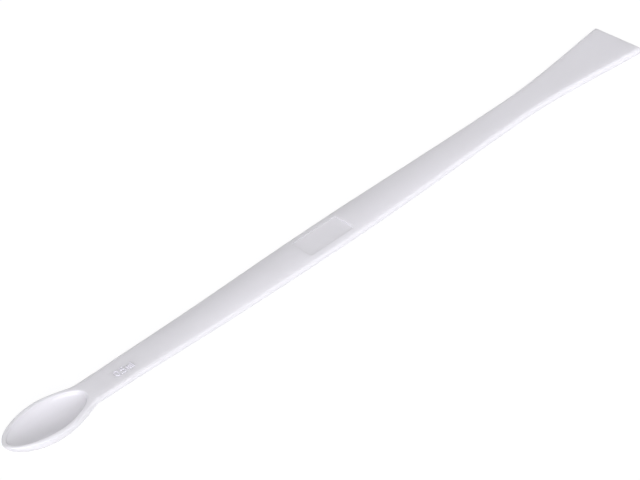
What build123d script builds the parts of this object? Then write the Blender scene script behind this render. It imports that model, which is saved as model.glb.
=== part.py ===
"""Lab spatula, injection moulded in one piece: a deep oval spoon, a long crowned handle and a flared blade.

Lengths are in millimetres. The spatula is drawn along +X from the spoon's tip to the blade's end, with its
middle plane at Y = 0 and the middle of its top at Z = 0 in mid length. It is then laid down as it rests on
a bench, on the spoon's underside and the blade's lower edge, with the origin at the bottom centre of its box.
"""

from build123d import *
import math
import os

# The stretches that the spatula is made of, end to end, from the spoon's tip to the blade's end
SPOON_NOSE_LENGTH = 9.8
SPOON_BACK_LENGTH = 13.2
HANDLE_SWELL_LENGTH = 63.2
HANDLE_TAPER_LENGTH = 54.8
BLADE_LENGTH = 39.0

# Widths across the spatula, and its slopes where it leaves the spoon's neck and where the blade ends
SPOON_WIDTH = 9.6
SPOON_NECK_WIDTH = 6.1
HANDLE_WIDTH = 8.4
BLADE_NECK_WIDTH = 7.0
BLADE_WIDTH = 13.1
SPOON_NECK_SLOPE = 0.014
BLADE_END_SLOPE = 0.087

# Thickness at the spoon's neck and at the blade's end, and the spoon's depth outside
NECK_THICKNESS = 1.45
BLADE_THICKNESS = 1.85
SPOON_DEPTH = 3.75

# Roundness of the spoon's outline, where 2 is an ellipse, and the size of its blends into the handle
SPOON_FULLNESS = 1.82
SPOON_ROUND_LENGTH = 18.8
SPOON_SIDE_BLEND = 1.7
SPOON_UNDER_BLEND = 1.7

# The spoon's hollow: its rim's width, the floor under it, and the land between it and the spoon's neck
RIM_WIDTH = 0.95
FLOOR_THICKNESS = 1.45
CAVITY_LAND = 4.8

# Rounding of the edges: along the handle, round the rim outside and inside, and round the blade's end
EDGE_RADIUS = 0.68
RIM_RADIUS = 0.32
RIM_INNER_RADIUS = 0.3
BLADE_END_RADIUS = 0.4

# How far the rim's inner rounding has turned from upright where it meets the top, and its run past it
LIP_TURN = 60.0
LIP_OVERRUN = 10.0

# The crown across the handle's top, the lengths over which it rises from the spoon's neck and falls to the
# blade, the blade's flat stretch beyond it, and the rise of both of the spatula's ends with its sharpness
CROWN = 0.38
CROWN_RISE_LENGTH = 30.0
CROWN_FALL_LENGTH = 56.0
BLADE_FLAT_LENGTH = 28.0
END_RISE = 0.28
END_RISE_POWER = 3

# The lowest crown that is drawn as an arc, below which the top is a straight line across
LEAST_CROWN = 0.0005

# The bare recessed panel in the handle's top: its near end from the spoon's tip, and its size
PANEL_START = 73.7
PANEL_LENGTH = 12.4
PANEL_WIDTH = 5.2
PANEL_DEPTH = 0.2
PANEL_CORNER = 0.5

# The spoon's lower corners outside and in the hollow, as a share of half width and depth, the edges' largest
# share of the depth, and the least side left between corners
CORNER_SHARE = 0.86
HOLLOW_CORNER_SHARE = 0.96
EDGE_SHARE = 0.4
SIDE_SHARE = 0.02

# How many cross-sections stand in each stretch, and the angle at which the first stands round a nose
NOSE_SECTION_COUNT = 9
BACK_SECTION_COUNT = 10
HANDLE_SECTION_COUNT = 12
END_SECTION_COUNT = 4
NOSE_START_ANGLE = 5.0

# Where the stretches meet
SPOON_NECK_AT = SPOON_NOSE_LENGTH + SPOON_BACK_LENGTH
HANDLE_WIDEST_AT = SPOON_NECK_AT + HANDLE_SWELL_LENGTH
BLADE_NECK_AT = HANDLE_WIDEST_AT + HANDLE_TAPER_LENGTH
LENGTH = BLADE_NECK_AT + BLADE_LENGTH


def hermite(x, x0, y0, slope0, x1, y1, slope1):
    """A cubic from one height and slope to another."""
    span = x1 - x0
    t = (x - x0) / span
    rise = t * t * (3 - 2 * t)
    lead = t * (1 - t) ** 2 * span
    lag = t * t * (t - 1) * span
    return y0 + (y1 - y0) * rise + slope0 * lead + slope1 * lag


def smooth_max(a, b, blend):
    """The larger of two values, rounded off where they are within the blend of each other."""
    overlap = max(blend - abs(a - b), 0.0) / blend
    return max(a, b) + overlap * overlap * blend / 4


def ease(t):
    """Rises smoothly from 0 to 1."""
    t = min(max(t, 0.0), 1.0)
    return t * t * (3 - 2 * t)


def oval_share(x, widest, front, back):
    """An oval's width at x as a share of its greatest: a superellipse with its own half length each way."""
    reach = (widest - x) / front if x < widest else (x - widest) / back
    return (1 - min(reach, 1.0) ** SPOON_FULLNESS) ** (1 / SPOON_FULLNESS)


def spoon_share(x):
    """The spoon's outer width and depth at x, as a share of the greatest."""
    return oval_share(x, SPOON_NOSE_LENGTH, SPOON_NOSE_LENGTH, SPOON_ROUND_LENGTH - SPOON_NOSE_LENGTH)


def bar_half_width(x):
    """Half the width of the handle and blade: narrow at both necks, widest in mid length and at the end."""
    neck, middle = SPOON_NECK_WIDTH / 2, HANDLE_WIDTH / 2
    blade_neck, blade = BLADE_NECK_WIDTH / 2, BLADE_WIDTH / 2
    if x < SPOON_NECK_AT:
        return neck
    if x < HANDLE_WIDEST_AT:
        return hermite(x, SPOON_NECK_AT, neck, SPOON_NECK_SLOPE, HANDLE_WIDEST_AT, middle, 0)
    if x < BLADE_NECK_AT:
        return hermite(x, HANDLE_WIDEST_AT, middle, 0, BLADE_NECK_AT, blade_neck, 0)
    return hermite(x, BLADE_NECK_AT, blade_neck, 0, LENGTH, blade, BLADE_END_SLOPE)


def half_width(x):
    """Half the width of the whole outline."""
    spoon = SPOON_WIDTH / 2 * spoon_share(x)
    if x < SPOON_NOSE_LENGTH:
        return spoon
    return smooth_max(spoon, bar_half_width(x), SPOON_SIDE_BLEND)


def bar_thickness(x):
    """Thickness of the handle and blade, which grows evenly towards the blade."""
    share = (x - SPOON_NECK_AT) / (LENGTH - SPOON_NECK_AT)
    return NECK_THICKNESS + (BLADE_THICKNESS - NECK_THICKNESS) * max(share, 0.0)


def depth(x):
    """How far the underside lies below the top's edges."""
    spoon = SPOON_DEPTH * spoon_share(x)
    if x < SPOON_NOSE_LENGTH:
        return spoon
    return smooth_max(spoon, bar_thickness(x), SPOON_UNDER_BLEND)


def crown(x):
    """How far the middle of the top stands above its edges: nothing on the spoon and at the blade's end."""
    from_blade = LENGTH - BLADE_FLAT_LENGTH - x
    return CROWN * ease((x - SPOON_NECK_AT) / CROWN_RISE_LENGTH) * ease(from_blade / CROWN_FALL_LENGTH)


def middle_height(x):
    """Height of the top's middle line: both ends rise a little above mid length."""
    return END_RISE * abs(2 * x / LENGTH - 1) ** END_RISE_POWER


def section(x, inset=0.0):
    """One cross-section: crowned top, rounded upper edges, sides, and an underside with elliptical corners.

    With an inset, all of its outline lies that far inside the full one.
    """
    half, deep, rise = half_width(x), depth(x), crown(x)
    spoon = 1 - ease((x - SPOON_NOSE_LENGTH) / SPOON_BACK_LENGTH)
    upper = min(EDGE_RADIUS + (RIM_RADIUS - EDGE_RADIUS) * spoon, EDGE_SHARE * deep)
    across = EDGE_RADIUS + (CORNER_SHARE * half - EDGE_RADIUS) * spoon
    down = EDGE_RADIUS + (CORNER_SHARE * deep - EDGE_RADIUS) * spoon
    down = min(down, (1 - SIDE_SHARE) * deep - upper)
    upper, across, down = upper - inset, across - inset, down - inset
    half, deep = half - inset, deep - 2 * inset
    flat = half - upper
    foot = half - across
    plane = Plane(origin=(x, 0, middle_height(x) - rise - inset), x_dir=(0, 1, 0), z_dir=(1, 0, 0))
    with BuildSketch(plane) as sketch:
        with BuildLine():
            if rise > LEAST_CROWN:
                ThreePointArc((-flat, 0), (0, rise), (flat, 0))
            else:
                Line((-flat, 0), (flat, 0))
            CenterArc((flat, -upper), upper, 0, 90)
            Line((half, -upper), (half, down - deep))
            EllipticalCenterArc((foot, down - deep), across, down, 270, arc_size=90)
            Line((foot, -deep), (-foot, -deep))
            EllipticalCenterArc((-foot, down - deep), across, down, 180, arc_size=90)
            Line((-half, down - deep), (-half, -upper))
            CenterArc((-flat, -upper), upper, 90, 90)
        make_face()
    return sketch.sketch


def nose_places(tip, widest, count):
    """Places from a round tip to the widest point, closer together round the tip."""
    step = (90 - NOSE_START_ANGLE) / count
    angles = [NOSE_START_ANGLE + step * i for i in range(count + 1)]
    return [widest + (tip - widest) * math.cos(math.radians(angle)) for angle in angles]


def even_places(start, end, count):
    """Places at even steps after the start, up to and with the end."""
    return [start + (end - start) * (i + 1) / count for i in range(count)]


def bar():
    """The outside from the spoon's tip to where the blade's end starts to round off."""
    places = nose_places(0, SPOON_NOSE_LENGTH, NOSE_SECTION_COUNT)
    places += even_places(SPOON_NOSE_LENGTH, SPOON_NECK_AT, BACK_SECTION_COUNT)
    places += even_places(SPOON_NECK_AT, LENGTH - BLADE_END_RADIUS, HANDLE_SECTION_COUNT)
    return loft([section(x) for x in places])


def blade_end():
    """The blade's last stretch, rounded off all round towards its flat end."""
    sections = []
    for i in range(END_SECTION_COUNT + 1):
        turn = math.pi / 2 * i / END_SECTION_COUNT
        x = LENGTH - BLADE_END_RADIUS * (1 - math.sin(turn))
        sections.append(section(x, BLADE_END_RADIUS * (1 - math.cos(turn))))
    return loft(sections)


def cavity_section(x, front, back):
    """One cross-section of the hollow: a rounded lip, elliptical below it, and open above the rim."""
    share = oval_share(x, SPOON_NOSE_LENGTH, SPOON_NOSE_LENGTH - front, back - SPOON_NOSE_LENGTH)
    half = (SPOON_WIDTH / 2 - RIM_WIDTH) * share
    deep = (SPOON_DEPTH - FLOOR_THICKNESS) * share
    lip = min(RIM_INNER_RADIUS, deep / 2)
    low = lip * math.sin(math.radians(LIP_TURN))
    turn = LIP_TURN + LIP_OVERRUN
    mouth = half + lip - lip * math.cos(math.radians(turn))
    lip_top = lip * math.sin(math.radians(turn)) - low
    above = SPOON_DEPTH
    across, down = HOLLOW_CORNER_SHARE * half, deep - low
    foot = half - across
    plane = Plane(origin=(x, 0, middle_height(x)), x_dir=(0, 1, 0), z_dir=(1, 0, 0))
    with BuildSketch(plane) as sketch:
        with BuildLine():
            Line((-mouth, above), (mouth, above))
            Line((mouth, above), (mouth, lip_top))
            CenterArc((half + lip, -low), lip, 180 - turn, turn)
            EllipticalCenterArc((foot, -low), across, down, 270, arc_size=90)
            Line((foot, -deep), (-foot, -deep))
            EllipticalCenterArc((-foot, -low), across, down, 180, arc_size=90)
            CenterArc((-half - lip, -low), lip, 0, turn)
            Line((-mouth, lip_top), (-mouth, above))
        make_face()
    return sketch.sketch


def cavity():
    """The hollow of the spoon."""
    front = RIM_WIDTH
    back = SPOON_NECK_AT - CAVITY_LAND
    places = nose_places(front, SPOON_NOSE_LENGTH, NOSE_SECTION_COUNT)
    places += nose_places(back, SPOON_NOSE_LENGTH, NOSE_SECTION_COUNT)[-2::-1]
    return loft([cavity_section(x, front, back) for x in places])


def panel():
    """The recess in the handle's top, with its flat floor below the crown."""
    middle = PANEL_START + PANEL_LENGTH / 2
    side = PANEL_WIDTH / 2 / half_width(middle)
    lip = middle_height(middle) - crown(middle) * side * side
    outline = RectangleRounded(PANEL_LENGTH, PANEL_WIDTH, PANEL_CORNER)
    return Pos(middle, 0, lip - PANEL_DEPTH) * extrude(outline, 2 * PANEL_DEPTH + CROWN)


def lay_down(spatula):
    """Leans the spatula until the spoon and the blade's end touch one level, and sets the origin under it."""
    spoon_bottom = middle_height(SPOON_NOSE_LENGTH) - depth(SPOON_NOSE_LENGTH)
    blade_bottom = middle_height(LENGTH) - depth(LENGTH)
    reach = LENGTH - SPOON_NOSE_LENGTH
    lean = math.degrees(math.atan2(blade_bottom - spoon_bottom, reach))
    leaned = Rot(Y=lean) * spatula
    box = leaned.bounding_box()
    return Pos(-box.center().X, -box.center().Y, -box.min.Z) * leaned


def main():
    """Builds the spatula and writes it."""
    os.makedirs("parts", exist_ok=True)
    spatula = lay_down(bar() + blade_end() - cavity() - panel())
    spatula.label = "spatula"
    export_step(spatula, "parts/spatula.step")


main()
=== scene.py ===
"""Looks of a lab spatula, moulded in one piece of white polystyrene.

It has an oval spoon with a hollow, a long crowned handle with a bare panel, and a flared blade. Lengths are
in millimetres until a mesh is made, and then in metres. The spatula is drawn along +X from the spoon's tip
to the blade's end, and laid down on its spoon and blade as the part's solid is.
"""

import logging
import math
from dataclasses import dataclass, field, replace
from enum import Enum

import bmesh
import bpy
import numpy as np
from mathutils import Euler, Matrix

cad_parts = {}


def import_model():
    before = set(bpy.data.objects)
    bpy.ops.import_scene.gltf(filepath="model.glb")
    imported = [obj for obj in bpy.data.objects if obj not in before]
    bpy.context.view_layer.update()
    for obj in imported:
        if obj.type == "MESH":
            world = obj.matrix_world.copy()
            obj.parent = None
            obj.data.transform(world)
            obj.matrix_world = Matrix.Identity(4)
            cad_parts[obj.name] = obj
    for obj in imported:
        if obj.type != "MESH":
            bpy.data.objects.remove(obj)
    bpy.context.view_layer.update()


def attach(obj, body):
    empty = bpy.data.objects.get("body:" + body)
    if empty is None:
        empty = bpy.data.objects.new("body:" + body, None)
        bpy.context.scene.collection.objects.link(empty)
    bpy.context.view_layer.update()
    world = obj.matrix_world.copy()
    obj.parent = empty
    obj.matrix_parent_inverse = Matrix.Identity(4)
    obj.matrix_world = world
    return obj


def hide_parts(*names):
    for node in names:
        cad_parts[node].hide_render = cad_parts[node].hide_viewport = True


log = logging.getLogger("spatula")
MM = 0.001
WELD = 1e-4


def srgb(code: str) -> tuple[float, float, float, float]:
    """Turns an sRGB hex colour into linear light.

    Args:
        code: six hex digits.

    Returns:
        Linear red, green and blue, and an alpha of 1.
    """
    parts = [int(code[i : i + 2], 16) / 255 for i in (0, 2, 4)]
    linear = [c / 12.92 if c <= 0.04045 else ((c + 0.055) / 1.055) ** 2.4 for c in parts]
    return (*linear, 1.0)


def add_node(tree: bpy.types.NodeTree, kind: str, settings: dict | None = None, links: dict | None = None,
             **properties) -> bpy.types.Node:
    """Adds a node to a material or world.

    Args:
        tree: the node tree.
        kind: the node's Blender type.
        settings: input socket name or index to value.
        links: input socket name or index to the output socket that feeds it.
        **properties: the node's own properties.

    Returns:
        The node.
    """
    node = tree.nodes.new(kind)
    for name, value in properties.items():
        setattr(node, name, value)
    for socket, value in (settings or {}).items():
        node.inputs[socket].default_value = value
    for socket, source in (links or {}).items():
        tree.links.new(source, node.inputs[socket])
    return node


def ease(t: np.ndarray) -> np.ndarray:
    """Rises smoothly from 0 to 1."""
    t = np.clip(t, 0.0, 1.0)
    return t * t * (3 - 2 * t)


def smooth_max(a: np.ndarray, b: np.ndarray, blend: float) -> np.ndarray:
    """The larger of two values, rounded off where they are within the blend of each other."""
    overlap = np.clip(blend - np.abs(a - b), 0, None) / blend
    return np.maximum(a, b) + overlap * overlap * blend / 4


def hermite(x: np.ndarray, start: tuple[float, float, float], end: tuple[float, float, float]) -> np.ndarray:
    """A cubic from one place, height and slope to another.

    Args:
        x: the places asked for.
        start: place, height and slope where the cubic starts.
        end: place, height and slope where it ends.

    Returns:
        The cubic's height at each place.
    """
    span = end[0] - start[0]
    t = (x - start[0]) / span
    rise = t * t * (3 - 2 * t)
    lead = start[2] * t * (1 - t) ** 2 * span
    lag = end[2] * t * t * (t - 1) * span
    return start[1] + (end[1] - start[1]) * rise + lead + lag


def lerp(a: np.ndarray, b: np.ndarray, share: np.ndarray) -> np.ndarray:
    """Rows between two lines of points: row s holds a + (b - a) * share[s]."""
    return a[None] + (b - a)[None] * share[:, None, None]


def outward(line: np.ndarray) -> np.ndarray:
    """Unit normals in plan of a line of points whose solid side lies to the right of its direction.

    The normal is the direction along the line turned a quarter to the left.
    """
    along = np.gradient(line, axis=0)
    along /= np.linalg.norm(along, axis=1)[:, None]
    return np.c_[-along[:, 1], along[:, 0]]


class Half(Enum):
    """Which half of the spatula a patch is for: the far one, drawn at +Y, or its mirror image."""

    FAR = 1.0
    NEAR = -1.0


@dataclass
class Skin:
    """A closed skin gathered from grids of points that share their border points."""

    points: list[np.ndarray] = field(default_factory=list)
    quads: list[np.ndarray] = field(default_factory=list)
    count: int = 0

    def grid(self, surface: np.ndarray) -> None:
        """Adds a grid of points, shape rows x columns x 3, and a face between each four neighbours."""
        rows, columns = surface.shape[:2]
        index = np.arange(rows * columns).reshape(rows, columns) + self.count
        corners = (index[:-1, :-1], index[1:, :-1], index[1:, 1:], index[:-1, 1:])
        self.quads.append(np.stack(corners, -1).reshape(-1, 4))
        self.points.append(surface.reshape(-1, 3))
        self.count += rows * columns

    def both(self, surface: np.ndarray) -> None:
        """Adds a grid of the far half and its mirror image."""
        for half in Half:
            self.grid(surface * (1.0, half.value, 1.0))

    def transform(self, matrix: np.ndarray, shift: np.ndarray) -> None:
        """Turns all points by a matrix and then shifts them."""
        self.points = [p @ matrix.T + shift for p in self.points]

    def mesh(self, name: str) -> bpy.types.Object:
        """Welds the grids into one mesh, in metres.

        Points that round to the same place become one. A face with one doubled corner becomes a triangle,
        and one with more is left out. Face normals are then made to point outwards.

        Args:
            name: the object's name.

        Returns:
            The object, at the origin.
        """
        points = np.concatenate(self.points)
        quads = np.concatenate(self.quads)
        _, first, remap = np.unique(np.round(points / WELD).astype(np.int64), axis=0,
                                    return_index=True, return_inverse=True)
        quads = remap.reshape(-1)[quads]
        doubled = quads == np.roll(quads, -1, axis=1)
        repeats = doubled.sum(1)
        triangles = quads[repeats == 1][~doubled[repeats == 1]].reshape(-1, 3)
        quads = quads[(repeats == 0) & (quads[:, 0] != quads[:, 2]) & (quads[:, 1] != quads[:, 3])]
        data = bpy.data.meshes.new(name)
        data.from_pydata((points[first] * MM).tolist(), [], quads.tolist() + triangles.tolist())
        piece = bpy.data.objects.new(name, data)
        bpy.context.scene.collection.objects.link(piece)
        shell = bmesh.new()
        shell.from_mesh(data)
        bmesh.ops.recalc_face_normals(shell, faces=shell.faces)
        open_edges = sum(1 for edge in shell.edges if len(edge.link_faces) != 2)
        volume = shell.calc_volume(signed=True) / MM**3
        shell.to_mesh(data)
        shell.free()
        data.shade_smooth()
        log.info("%s: %d faces, %d open edges, %.1f cubic mm", name, len(data.polygons), open_edges, volume)
        return piece


@dataclass
class Outline:
    """The spatula's outline and thickness along X: the same sizes and formulas as the part's solid."""

    spoon_nose: float = 9.8
    spoon_back: float = 13.2
    swell: float = 63.2
    taper: float = 54.8
    blade: float = 39.0
    spoon_width: float = 9.6
    spoon_neck_width: float = 6.1
    handle_width: float = 8.4
    blade_neck_width: float = 7.0
    blade_width: float = 13.1
    spoon_neck_slope: float = 0.014
    blade_end_slope: float = 0.087
    neck_thickness: float = 1.45
    blade_thickness: float = 1.85
    spoon_depth: float = 3.75
    fullness: float = 1.82
    spoon_round: float = 18.8
    side_blend: float = 1.7
    under_blend: float = 1.7
    edge_radius: float = 0.68
    rim_radius: float = 0.32
    end_radius: float = 0.4
    crown_height: float = 0.38
    crown_rise: float = 30.0
    crown_fall: float = 56.0
    blade_flat: float = 28.0
    end_rise: float = 0.28
    end_rise_power: float = 3.0
    corner_share: float = 0.86
    edge_share: float = 0.4
    side_share: float = 0.02
    tip_angle: float = 5.0

    @property
    def neck_at(self) -> float:
        """Where the spoon meets the handle."""
        return self.spoon_nose + self.spoon_back

    @property
    def widest_at(self) -> float:
        """Where the handle is widest."""
        return self.neck_at + self.swell

    @property
    def blade_neck_at(self) -> float:
        """Where the blade starts to flare."""
        return self.widest_at + self.taper

    @property
    def length(self) -> float:
        """The whole length."""
        return self.blade_neck_at + self.blade

    @property
    def tip_at(self) -> float:
        """Where the solid's first cross-section stands, a little behind the drawn tip."""
        return self.spoon_nose * (1 - math.cos(math.radians(self.tip_angle)))

    def round_share(self, reach: np.ndarray) -> np.ndarray:
        """A superellipse's half width, as a share of the greatest, at a share of its half length."""
        return (1 - np.clip(reach, 0, 1) ** self.fullness) ** (1 / self.fullness)

    def spoon_share(self, x: np.ndarray) -> np.ndarray:
        """The spoon's outer width and depth at x, as a share of the greatest."""
        front = (self.spoon_nose - x) / (self.spoon_nose - self.tip_at)
        back = (x - self.spoon_nose) / (self.spoon_round - self.spoon_nose)
        return self.round_share(np.where(x < self.spoon_nose, front, back))

    def half_width(self, x: np.ndarray) -> np.ndarray:
        """Half the outline's width: the spoon's oval blended into the bar of handle and blade."""
        neck, middle = self.spoon_neck_width / 2, self.handle_width / 2
        blade_neck, blade = self.blade_neck_width / 2, self.blade_width / 2
        swell = hermite(x, (self.neck_at, neck, self.spoon_neck_slope), (self.widest_at, middle, 0))
        taper = hermite(x, (self.widest_at, middle, 0), (self.blade_neck_at, blade_neck, 0))
        flare = hermite(x, (self.blade_neck_at, blade_neck, 0), (self.length, blade, self.blade_end_slope))
        stretches = [x < self.neck_at, x < self.widest_at, x < self.blade_neck_at]
        bar = np.select(stretches, [neck, swell, taper], flare)
        spoon = self.spoon_width / 2 * self.spoon_share(x)
        return np.where(x < self.spoon_nose, spoon, smooth_max(spoon, bar, self.side_blend))

    def depth(self, x: np.ndarray) -> np.ndarray:
        """How far the underside lies below the top's edges: the spoon's bowl blended into the bar."""
        share = np.clip((x - self.neck_at) / (self.length - self.neck_at), 0, None)
        bar = self.neck_thickness + (self.blade_thickness - self.neck_thickness) * share
        spoon = self.spoon_depth * self.spoon_share(x)
        return np.where(x < self.spoon_nose, spoon, smooth_max(spoon, bar, self.under_blend))

    def crown(self, x: np.ndarray) -> np.ndarray:
        """How far the middle of the top stands above its edges."""
        rise = ease((x - self.neck_at) / self.crown_rise)
        return self.crown_height * rise * ease((self.length - self.blade_flat - x) / self.crown_fall)

    def middle_height(self, x: np.ndarray) -> np.ndarray:
        """Height of the top's middle line: both ends rise a little above mid length."""
        return self.end_rise * np.abs(2 * x / self.length - 1) ** self.end_rise_power

    def radii(self, x: np.ndarray) -> tuple[np.ndarray, np.ndarray, np.ndarray]:
        """Roundings of a cross-section.

        Args:
            x: places along the spatula.

        Returns:
            The upper edge's radius, and the lower corners' reach across and down.
        """
        half, deep = self.half_width(x), self.depth(x)
        spoon = 1 - ease((x - self.spoon_nose) / self.spoon_back)
        upper = self.edge_radius + (self.rim_radius - self.edge_radius) * spoon
        upper = np.minimum(upper, self.edge_share * deep)
        across = self.edge_radius + (self.corner_share * half - self.edge_radius) * spoon
        down = self.edge_radius + (self.corner_share * deep - self.edge_radius) * spoon
        across = np.minimum(across, half)
        return upper, across, np.minimum(down, (1 - self.side_share) * deep - upper)

    def top_edge(self, x: np.ndarray) -> np.ndarray:
        """Half the width of the top between its rounded edges."""
        return self.half_width(x) - self.radii(x)[0]

    def top(self, x: np.ndarray, y: np.ndarray) -> np.ndarray:
        """Height of the crowned top: its middle's height less the crown times (y / half width)^2."""
        return self.middle_height(x) - self.crown(x) * (y / np.maximum(self.top_edge(x), 1e-6)) ** 2

    def skin_rows(self, x: np.ndarray, inset: np.ndarray) -> np.ndarray:
        """The far half of the outside, from the underside's middle round the edge to the top's edge.

        The bottom runs flat to the lower corner, the corner is a quarter ellipse, the side is straight, and
        the upper edge is a quarter circle. With an inset, the outline lies that far inside the full one.

        Args:
            x: places along the spatula, one row of points each.
            inset: how far the outline is drawn in at each place.

        Returns:
            Points, shape places x points round x 3.
        """
        upper, across, down = (radius - inset for radius in self.radii(x))
        half, deep = self.half_width(x) - inset, self.depth(x) - 2 * inset
        upper, across, down = (np.clip(radius, 0, None)[:, None] for radius in (upper, across, down))
        half, deep = half[:, None], deep[:, None]
        level = (self.middle_height(x) - self.crown(x) - inset)[:, None]
        turn = np.linspace(0, math.pi / 2, 13)[None]
        edge_turn = np.linspace(0, math.pi / 2, 9)[None, 1:]
        flat = np.array([0.0, 0.4, 0.75, 0.93])[None]
        wall = np.array([0.25, 0.75, 1.0])[None]
        y = np.concatenate([(half - across) * flat, half - across + across * np.sin(turn), half + 0 * wall,
                            half - upper + upper * np.cos(edge_turn)], 1)
        low, high = down - deep, -upper
        z = np.concatenate([-deep + 0 * flat, low - down * np.cos(turn), low + (high - low) * wall,
                            high + upper * np.sin(edge_turn)], 1) + level
        return np.stack([x[:, None] + 0 * y, y, z], -1)


@dataclass
class Hollow:
    """The spoon's hollow with its rim, whose inner lip is rounded all the way round."""

    outline: Outline
    rim: float = 0.95
    floor: float = 1.45
    land: float = 4.8
    lip: float = 0.3
    bulge: float = 1.6
    stations: int = 40
    strip: int = 10

    @property
    def back_at(self) -> float:
        """Where the hollow ends towards the handle."""
        return self.outline.neck_at - self.land

    def places(self) -> tuple[np.ndarray, np.ndarray, np.ndarray]:
        """Matching places round the outer rim and round the hollow's mouth.

        Returns:
            X of the outer rim, X of the mouth, and the mouth's half width there.
        """
        shape = self.outline
        turn = np.linspace(0, math.pi / 2, self.stations)
        front, back = np.cos(turn), np.sin(turn[1:])
        outer = np.concatenate([shape.spoon_nose - (shape.spoon_nose - shape.tip_at) * front,
                                shape.spoon_nose + shape.spoon_back * np.linspace(0, 1, self.stations)[1:]])
        inner = np.concatenate([shape.spoon_nose - (shape.spoon_nose - self.rim) * front,
                                shape.spoon_nose + (self.back_at - shape.spoon_nose) * back])
        widest = shape.spoon_width / 2 - self.rim
        return outer, inner, widest * shape.round_share(np.concatenate([front, back]))

    def build(self, skin: Skin) -> np.ndarray:
        """Adds the rim, its lip and the hollow.

        The wall goes down as z = -depth * sin(a) while the outline shrinks towards the hollow's middle as a
        superellipse of sin(a). The lip is a quarter circle out from the wall's top, and the rim is ruled
        from the lip to the outer edge.

        Args:
            skin: the skin that the patches go into.

        Returns:
            The rim's last row, from the top's edge at the neck to the hollow's end.
        """
        shape = self.outline
        outer_x, inner_x, inner_y = self.places()
        mouth = np.c_[inner_x, inner_y]
        side = outward(mouth)
        side[0], side[-1] = (-1.0, 0.0), (1.0, 0.0)
        height = shape.middle_height(inner_x)
        turn = np.linspace(0, math.pi / 2, 26)[:, None]
        shrink = (1 - np.sin(turn) ** self.bulge) ** (1 / self.bulge)
        depth = shape.spoon_depth - self.floor - self.lip
        middle = shape.spoon_nose
        low = shape.middle_height(middle) - self.lip - depth
        wall_top = height[None] - self.lip
        skin.both(np.stack([middle + (inner_x - middle)[None] * shrink, inner_y[None] * shrink,
                            wall_top + (low - wall_top) * np.sin(turn)], -1))
        bend = np.linspace(0, math.pi / 2, 7)[:, None]
        reach = self.lip * (1 - np.cos(bend))
        lip_x = inner_x[None] + side[:, 0][None] * reach
        lip_y = inner_y[None] + side[:, 1][None] * reach
        lip_y[:, 0] = lip_y[:, -1] = 0.0
        lip_z = shape.middle_height(lip_x) - self.lip + self.lip * np.sin(bend)
        skin.both(np.stack([lip_x, lip_y, lip_z], -1))
        edge = np.c_[outer_x, shape.top_edge(outer_x)]
        crest = np.c_[lip_x[-1], lip_y[-1]]
        across = 0.5 - 0.5 * np.cos(np.linspace(0, math.pi, self.strip + 1))
        rows = lerp(edge, crest, across)
        skin.both(np.dstack([rows, shape.middle_height(rows[..., 0])]))
        return rows[:, -1]


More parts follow.
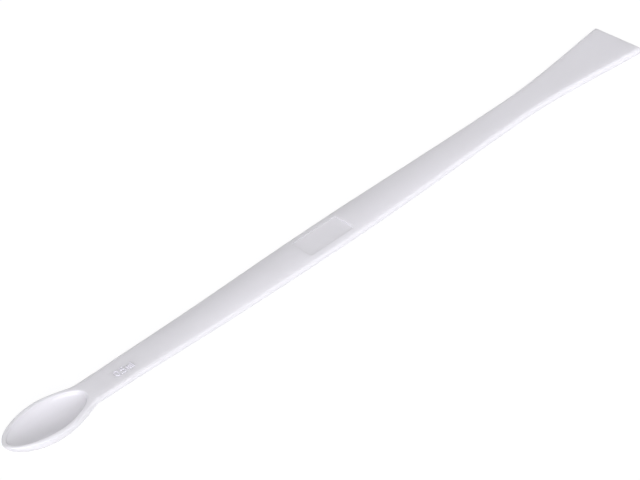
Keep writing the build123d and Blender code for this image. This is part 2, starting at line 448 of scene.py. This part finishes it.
@dataclass
class Panel:
    """The bare recess in the handle's top: rounded corners, a small lip, upright walls and a flat floor."""

    outline: Outline
    start: float = 73.7
    length: float = 12.4
    width: float = 5.2
    depth: float = 0.2
    corner: float = 0.5
    lip: float = 0.08
    foot: float = 0.08
    margin: float = 2.2
    long_side: int = 18
    corner_points: int = 3

    @property
    def ends(self) -> tuple[float, float]:
        """The stretch of the top that the panel's patch takes."""
        return self.start - self.margin, self.start + self.length + self.margin

    def frame_line(self, grow: float, short: int) -> np.ndarray:
        """Half of a rounded rectangle in plan, from the near end's middle round to the far end's middle.

        Args:
            grow: how far the line lies outside the panel's wall.
            short: steps along half of a short side.

        Returns:
            Points, shape count x 2.
        """
        radius = self.corner + grow
        half, reach = self.width / 2 + grow, self.length / 2 + grow
        turn = np.linspace(0, math.pi / 2, 2 * self.corner_points + 1)
        rise = np.linspace(0, 1, short - self.corner_points + 1)[:-1] * (half - radius)
        run = np.linspace(-1, 1, self.long_side - 2 * self.corner_points + 1)[1:-1] * (reach - radius)
        x = np.concatenate([-reach + 0 * rise, radius - reach - radius * np.cos(turn), run,
                            reach - radius + radius * np.sin(turn), reach + 0 * rise])
        y = np.concatenate([rise, half - radius + radius * np.sin(turn), half + 0 * run,
                            half - radius + radius * np.cos(turn), rise[::-1]])
        return np.c_[x + self.start + self.length / 2, y]

    def build(self, skin: Skin, across: np.ndarray) -> None:
        """Adds the top round the panel, its lip, walls and floor.

        The rows between the panel's lip and the patch's border are ruled in plan and take the crowned
        top's height. The lip and the foot are quarter circles.

        Args:
            skin: the skin that the patches go into.
            across: the top's steps from its middle to its edge, as shares.
        """
        shape = self.outline
        short = len(across) - 1
        near, far = self.ends
        long_x = self.long_places()
        near_y, far_y = (shape.top_edge(np.array([x]))[0] * across for x in self.ends)
        border = np.concatenate([np.c_[near + 0 * near_y, near_y],
                                 np.c_[long_x, shape.top_edge(long_x)][1:-1],
                                 np.c_[far + 0 * far_y, far_y][::-1]])
        crest = self.frame_line(self.lip, short)
        rows = lerp(crest, border, np.linspace(0, 1, 7) ** 1.5)
        skin.both(np.dstack([rows, shape.top(rows[..., 0], rows[..., 1])]))
        wall = self.frame_line(0.0, short)
        wall_top = shape.top(crest[:, 0], crest[:, 1])
        bend = np.linspace(0, math.pi / 2, 5)[:, None]
        step = (crest - wall)[None]
        lip_rows = wall[None] + step * (1 - np.cos(bend))[..., None]
        skin.both(np.dstack([lip_rows, wall_top[None] - self.lip + self.lip * np.sin(bend)]))
        middle = np.array([self.start + self.length / 2])
        side = self.width / 2
        beside = np.array([side]) * shape.top_edge(middle) / shape.half_width(middle)
        floor = shape.top(middle, beside)[0] - self.depth
        drop = np.linspace(0, 1, 4)[:, None]
        wall_rows = wall[None] + 0 * drop[..., None]
        fall = (floor + self.foot - wall_top + self.lip)[None] * drop
        skin.both(np.dstack([wall_rows, wall_top[None] - self.lip + fall]))
        inner = self.frame_line(-self.foot, short)
        foot_rows = wall[None] + (inner - wall)[None] * (1 - np.cos(bend))[..., None]
        skin.both(np.dstack([foot_rows, floor + self.foot - self.foot * np.sin(bend) + 0 * wall_top[None]]))
        centre = np.c_[middle + 0 * wall_top, 0 * wall_top]
        floor_rows = lerp(inner, centre, np.linspace(0, 1, 4))
        skin.both(np.dstack([floor_rows, floor + 0 * floor_rows[..., 0]]))

    def long_places(self) -> np.ndarray:
        """Places of the patch's long side, from one end to the other."""
        near, far = self.ends
        return np.linspace(near, far, self.long_side + 1)


@dataclass
class CapacityMark:
    """A small raised measure on the handle beside the spoon: figures and a unit, as round-topped strokes."""

    outline: Outline
    start: float = 25.0
    base: float = -1.1
    scale: float = 0.78
    tall: float = 1.75
    short_share: float = 0.62
    stroke: float = 0.28
    proud: float = 0.11

    def strokes(self) -> list[np.ndarray]:
        """Each stroke's centre line in plan, in millimetres.

        The figures are drawn from an origin at their lower left, then drawn in by the scale and put in place.
        """
        tall = self.tall
        low = self.short_share * tall
        turn = np.linspace(0, 2 * math.pi, 25)
        bowl = np.radians(np.linspace(140, -140, 17))
        arch = np.radians(np.linspace(180, 0, 9))
        zero = np.c_[0.5 + 0.48 * np.cos(turn), tall / 2 + tall / 2 * np.sin(turn)]
        point = np.array([[1.38, 0.03], [1.42, 0.03]])
        five = np.r_[[[2.75, tall], [2.0, tall], [1.92, low]],
                     np.c_[2.25 + 0.5 * np.cos(bowl), 0.56 + 0.56 * np.sin(bowl)]]
        stem = np.array([[3.5, 0.0], [3.5, low]])
        bend = np.c_[0.27 + 0.27 * np.cos(arch), low - 0.3 + 0.27 * np.sin(arch)]
        legs = [np.r_[bend, [[0.54, 0.0]]] + (at, 0.0) for at in (3.5, 4.04)]
        ell = np.array([[5.05, 0.0], [5.05, tall]])
        drawn = [zero, point, five, stem, *legs, ell]
        return [line * self.scale + (self.start, self.base) for line in drawn]

    def ridge(self, line: np.ndarray) -> np.ndarray:
        """A closed ridge along a line: an oval section carried along it, drawn in to a point at both ends.

        Args:
            line: centre points in plan.

        Returns:
            Points, shape along x round x 3.
        """
        along = np.gradient(line, axis=0)
        along /= np.linalg.norm(along, axis=1)[:, None]
        caps = np.array([1.0, 0.8, 0.4, 0.0])
        start = line[0] - along[0] * self.stroke / 2 * caps[:-1, None]
        end = line[-1] + along[-1] * self.stroke / 2 * caps[-2::-1, None]
        full = np.concatenate([start, line, end])
        along = np.concatenate([along[:1].repeat(3, 0), along, along[-1:].repeat(3, 0)])
        cap_size = np.sqrt(1 - caps[:-1] ** 2)
        size = np.concatenate([cap_size, np.ones(len(line)), cap_size[::-1]])
        turn = np.linspace(0, 2 * math.pi, 13)
        side = np.c_[-along[:, 1], along[:, 0]]
        plan = full[:, None] + side[:, None] * (self.stroke / 2 * size[:, None] * np.cos(turn))[..., None]
        top = self.outline.top(full[:, 0], full[:, 1])[:, None]
        return np.dstack([plan, top + self.proud * size[:, None] * np.sin(turn)])

    def build(self, skin: Skin) -> None:
        """Adds every stroke."""
        for line in self.strokes():
            skin.grid(self.ridge(line))


@dataclass(frozen=True)
class MouldedPolystyrene:
    """White high-impact polystyrene as it comes from a polished mould.

    It is an even, translucent white in which light bleeds some millimetres, with a soft gloss, faint flow
    marks along the part and a fine satin grain. The grain of such a mould is about 0.05 mm, too fine to
    show here, so it is drawn at 0.3 mm.
    """

    slot: str = "moulded_polystyrene"
    colour: str = "F4F2FA"
    flow_colour: str = "F1EFF8"
    roughness: float = 0.22
    roughness_spread: float = 0.04
    ior: float = 1.59
    flow_mm: float = 14.0
    flow_stretch: float = 0.25
    grain_mm: float = 0.3
    grain_detail: float = 2.0
    relief: float = 0.12
    relief_mm: float = 0.02
    bleed: float = 0.8
    bleed_mm: float = 3.5

    def material(self, name: str) -> bpy.types.Material:
        """Builds the material: noise in object space mixes two close whites and varies the gloss.

        Args:
            name: the material's name.

        Returns:
            The material.
        """
        made = bpy.data.materials.new(name)
        made.use_nodes = True
        tree = made.node_tree
        tree.nodes.clear()
        place = add_node(tree, "ShaderNodeTexCoord").outputs["Object"]
        flow_place = add_node(tree, "ShaderNodeMapping", {"Scale": (self.flow_stretch, 1.0, 1.0)},
                              {"Vector": place})
        flow = add_node(tree, "ShaderNodeTexNoise",
                        {"Scale": 1 / (self.flow_mm * MM), "Detail": self.grain_detail},
                        {"Vector": flow_place.outputs[0]})
        grain = add_node(tree, "ShaderNodeTexNoise",
                         {"Scale": 1 / (self.grain_mm * MM), "Detail": self.grain_detail},
                         {"Vector": place})
        mixed = add_node(tree, "ShaderNodeMix", {"A": srgb(self.colour), "B": srgb(self.flow_colour)},
                         {"Factor": flow.outputs["Fac"]}, data_type="RGBA")
        gloss = add_node(tree, "ShaderNodeMapRange", {"To Min": self.roughness - self.roughness_spread,
                                                      "To Max": self.roughness + self.roughness_spread},
                         {"Value": grain.outputs["Fac"]})
        relief = add_node(tree, "ShaderNodeBump", {"Strength": self.relief, "Distance": self.relief_mm * MM},
                          {"Height": grain.outputs["Fac"]})
        shader = add_node(tree, "ShaderNodeBsdfPrincipled",
                          {"IOR": self.ior, "Subsurface Weight": self.bleed,
                           "Subsurface Scale": self.bleed_mm * MM, "Subsurface Radius": (1.0, 1.0, 1.0)},
                          {"Base Color": mixed.outputs["Result"], "Roughness": gloss.outputs[0],
                           "Normal": relief.outputs[0]})
        add_node(tree, "ShaderNodeOutputMaterial", links={"Surface": shader.outputs[0]})
        return made


@dataclass
class Spatula:
    """The whole moulding: spoon, handle with its panel, and blade, in one skin."""

    outline: Outline = field(default_factory=Outline)
    finish: MouldedPolystyrene = field(default_factory=MouldedPolystyrene)
    across: int = 10
    handle_stations: int = 44
    blade_stations: int = 46
    end_steps: int = 8

    def __post_init__(self) -> None:
        """Gives the hollow, the panel and the mark their places on the outline."""
        self.hollow = Hollow(self.outline, strip=self.across)
        self.panel = Panel(self.outline)
        self.mark = CapacityMark(self.outline)
        self.shares = np.sin(np.linspace(0, math.pi / 2, self.across + 1))

    def top_patch(self, skin: Skin, x: np.ndarray, inset: np.ndarray) -> np.ndarray:
        """Adds a stretch of the crowned top.

        Args:
            skin: the skin that the patch goes into.
            x: places along the spatula.
            inset: how far the outline is drawn in at each place.

        Returns:
            The patch's far half, shape places x across x 3.
        """
        y = self.outline.top_edge(x)[:, None] * self.shares[None]
        z = self.outline.top(x[:, None] + 0 * y, y) - inset[:, None]
        rows = np.stack([x[:, None] + 0 * y, y, z], -1)
        skin.both(rows)
        return rows

    def neck_patch(self, skin: Skin, rim_end: np.ndarray) -> None:
        """Fills the flat top between the hollow's end and the neck, ruled from the one line to the other."""
        neck = self.outline.neck_at
        y = self.outline.top_edge(np.array([neck]))[0] * self.shares[::-1]
        rows = lerp(rim_end, np.c_[neck + 0 * y, y], np.linspace(0, 1, 7))
        skin.both(np.dstack([rows, self.outline.middle_height(rows[..., 0])]))

    def laid(self, points: np.ndarray) -> tuple[np.ndarray, np.ndarray]:
        """How the spatula is laid on its spoon and blade.

        Args:
            points: all points as drawn.

        Returns:
            The leaning matrix, and the shift that puts the bottom's centre at the origin.
        """
        shape = self.outline
        ends = np.array([shape.spoon_nose, shape.length])
        bottom = shape.middle_height(ends) - shape.depth(ends)
        lean = math.atan2(bottom[1] - bottom[0], ends[1] - ends[0])
        c, s = math.cos(lean), math.sin(lean)
        matrix = np.array([[c, 0, s], [0, 1, 0], [-s, 0, c]])
        leaned = points @ matrix.T
        low, high = leaned.min(0), leaned.max(0)
        return matrix, np.array([-(low[0] + high[0]) / 2, 0.0, -low[2]])

    def build(self) -> list[bpy.types.Object]:
        """Builds the moulding's skin and its raised mark.

        Returns:
            The pieces.
        """
        shape = self.outline
        skin, mark = Skin(), Skin()
        spoon_x = self.hollow.places()[0]
        near, far = self.panel.ends
        first = np.linspace(shape.neck_at, near, self.handle_stations)
        last = np.linspace(far, shape.length - shape.end_radius, self.blade_stations * 2)
        turn = np.linspace(0, math.pi / 2, self.end_steps)
        end_x = shape.length - shape.end_radius * (1 - np.sin(turn))
        end_inset = shape.end_radius * (1 - np.cos(turn))
        side_x = np.concatenate([spoon_x, first[1:], self.panel.long_places()[1:], last[1:]])
        skin.both(shape.skin_rows(side_x, 0 * side_x))
        end_rows = shape.skin_rows(end_x, end_inset)
        skin.both(end_rows)
        self.neck_patch(skin, self.hollow.build(skin))
        self.top_patch(skin, first, 0 * first)
        self.panel.build(skin, self.shares)
        self.top_patch(skin, last, 0 * last)
        top_end = self.top_patch(skin, end_x, end_inset)
        ring = np.concatenate([end_rows[-1], top_end[-1][::-1]])
        centre = np.array([shape.length, 0.0, ring[:, 2].mean()])
        skin.both(np.stack([ring, ring * 0 + centre]))
        self.mark.build(mark)
        matrix, shift = self.laid(np.concatenate(skin.points))
        for layer in (skin, mark):
            layer.transform(matrix, shift)
        return [skin.mesh("spatula_moulding"), mark.mesh("spatula_raised_measure")]

    def dress(self, pieces: list[bpy.types.Object]) -> None:
        """Gives the pieces their finish, and sets them on the frame in place of the plain node.

        The strokes are far thinner than light bleeds in this plastic, so their finish has no bleed.
        """
        thick = self.finish.material("moulded_polystyrene_white")
        thin = replace(self.finish, bleed=0.0).material("moulded_polystyrene_strokes")
        for piece, material in zip(pieces, (thick, thin)):
            piece.data.materials.append(material)
            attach(piece, "root")
        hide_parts("spatula")


class Ray(Enum):
    """Kinds of ray that see the floor and the sky as plain white."""

    CAMERA = "Is Camera Ray"
    GLOSSY = "Is Glossy Ray"
    TRANSMISSION = "Is Transmission Ray"


@dataclass
class Studio:
    """A white sweep under soft light, mostly from the near side, with a weak fill from the far one."""

    floor_colour: str = "66666A"
    floor_size: float = 3.0
    floor_lift: float = 0.93
    floor_bounce: float = 0.35
    lamp_colour: str = "FAF9FF"
    lamp_reach: float = 0.5
    sky: float = 0.32
    key_strength: float = 3.08
    key_angle: float = 55.0
    key_toward: tuple[float, float, float] = (-0.497, -0.782, 0.376)
    fill_strength: float = 0.18
    fill_angle: float = 60.0
    fill_toward: tuple[float, float, float] = (0.3, 0.8, 0.52)

    def seen_white(self, tree: bpy.types.NodeTree) -> bpy.types.NodeSocket:
        """A factor of 1 for the rays that see plain white, and 0 for the rest."""
        path = add_node(tree, "ShaderNodeLightPath")
        total = path.outputs[Ray.CAMERA.value]
        for ray in (Ray.GLOSSY, Ray.TRANSMISSION):
            either = add_node(tree, "ShaderNodeMath", links={0: total, 1: path.outputs[ray.value]},
                              operation="MAXIMUM")
            total = either.outputs[0]
        return total

    def floor(self) -> bpy.types.Object:
        """A matt floor that keeps the shadow, with a lift to white where seen and a bounce of its own."""
        half = self.floor_size / 2
        data = bpy.data.meshes.new("sweep_floor")
        corners = [(-half, -half, 0), (half, -half, 0), (half, half, 0), (-half, half, 0)]
        data.from_pydata(corners, [], [(0, 1, 2, 3)])
        sheet = bpy.data.objects.new("sweep_floor", data)
        bpy.context.scene.collection.objects.link(sheet)
        made = bpy.data.materials.new("matt_white_sweep")
        made.use_nodes = True
        tree = made.node_tree
        tree.nodes.clear()
        matt = add_node(tree, "ShaderNodeBsdfDiffuse", {"Color": srgb(self.floor_colour)})
        lift = add_node(tree, "ShaderNodeMapRange", {"To Min": self.floor_bounce, "To Max": self.floor_lift},
                        {"Value": self.seen_white(tree)})
        glow = add_node(tree, "ShaderNodeEmission", {"Color": (1, 1, 1, 1)}, {"Strength": lift.outputs[0]})
        both = add_node(tree, "ShaderNodeAddShader", links={0: matt.outputs[0], 1: glow.outputs[0]})
        add_node(tree, "ShaderNodeOutputMaterial", links={"Surface": both.outputs[0]})
        data.materials.append(made)
        return sheet

    def world(self) -> None:
        """An even sky that lights at a plain level and is seen as white."""
        sky = bpy.data.worlds.new("even_sky")
        bpy.context.scene.world = sky
        sky.use_nodes = True
        tree = sky.node_tree
        tree.nodes.clear()
        level = add_node(tree, "ShaderNodeMapRange", {"To Min": self.sky, "To Max": 1.0},
                         {"Value": self.seen_white(tree)})
        light = add_node(tree, "ShaderNodeBackground", {"Color": (1, 1, 1, 1)},
                         {"Strength": level.outputs[0]})
        add_node(tree, "ShaderNodeOutputWorld", links={"Surface": light.outputs[0]})

    def lamp(self, name: str, toward: tuple[float, float, float], strength: float, angle: float) -> None:
        """A far soft lamp that shines from a direction.

        Args:
            name: the lamp's name.
            toward: direction from the object to the lamp.
            strength: its level.
            angle: its apparent size in degrees.
        """
        data = bpy.data.lights.new(name, "SUN")
        data.energy, data.angle, data.color = strength, math.radians(angle), srgb(self.lamp_colour)[:3]
        unit = bpy.data.objects.new(name, data)
        x, y, z = toward
        tilt = math.atan2(math.hypot(x, y), z)
        unit.rotation_euler = Euler((0.0, tilt, math.atan2(y, x)))
        unit.location = tuple(self.lamp_reach * v for v in toward)
        bpy.context.scene.collection.objects.link(unit)

    def build(self) -> None:
        """Sets up the floor, the sky and the lamps."""
        self.floor()
        self.world()
        self.lamp("near_side_softbox", self.key_toward, self.key_strength, self.key_angle)
        self.lamp("far_side_fill", self.fill_toward, self.fill_strength, self.fill_angle)


@dataclass
class PhotoCamera:
    """The photograph's viewpoint, in millimetres and degrees, and a lens for a 36 mm wide sensor."""

    place_mm: tuple[float, float, float] = (-200.444, -179.109, 213.210)
    turn: tuple[float, float, float] = (50.9783, 0.44588, -46.97386)
    lens_mm: float = 95.625

    def build(self) -> None:
        """Creates the camera and makes it the scene's."""
        data = bpy.data.cameras.new("viewpoint")
        data.lens, data.sensor_width = self.lens_mm, 36.0
        data.clip_start, data.clip_end = 0.01, 10.0
        viewpoint = bpy.data.objects.new("viewpoint", data)
        viewpoint.location = tuple(v * MM for v in self.place_mm)
        viewpoint.rotation_euler = Euler([math.radians(a) for a in self.turn])
        bpy.context.scene.collection.objects.link(viewpoint)
        bpy.context.scene.camera = viewpoint


def main() -> None:
    """Builds the spatula, the studio and the camera."""
    logging.basicConfig(level=logging.INFO, format="%(message)s")
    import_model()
    spatula = Spatula()
    spatula.dress(spatula.build())
    Studio().build()
    PhotoCamera().build()
    bpy.context.scene.view_settings.view_transform = "Standard"


if __name__ == "__main__":
    main()
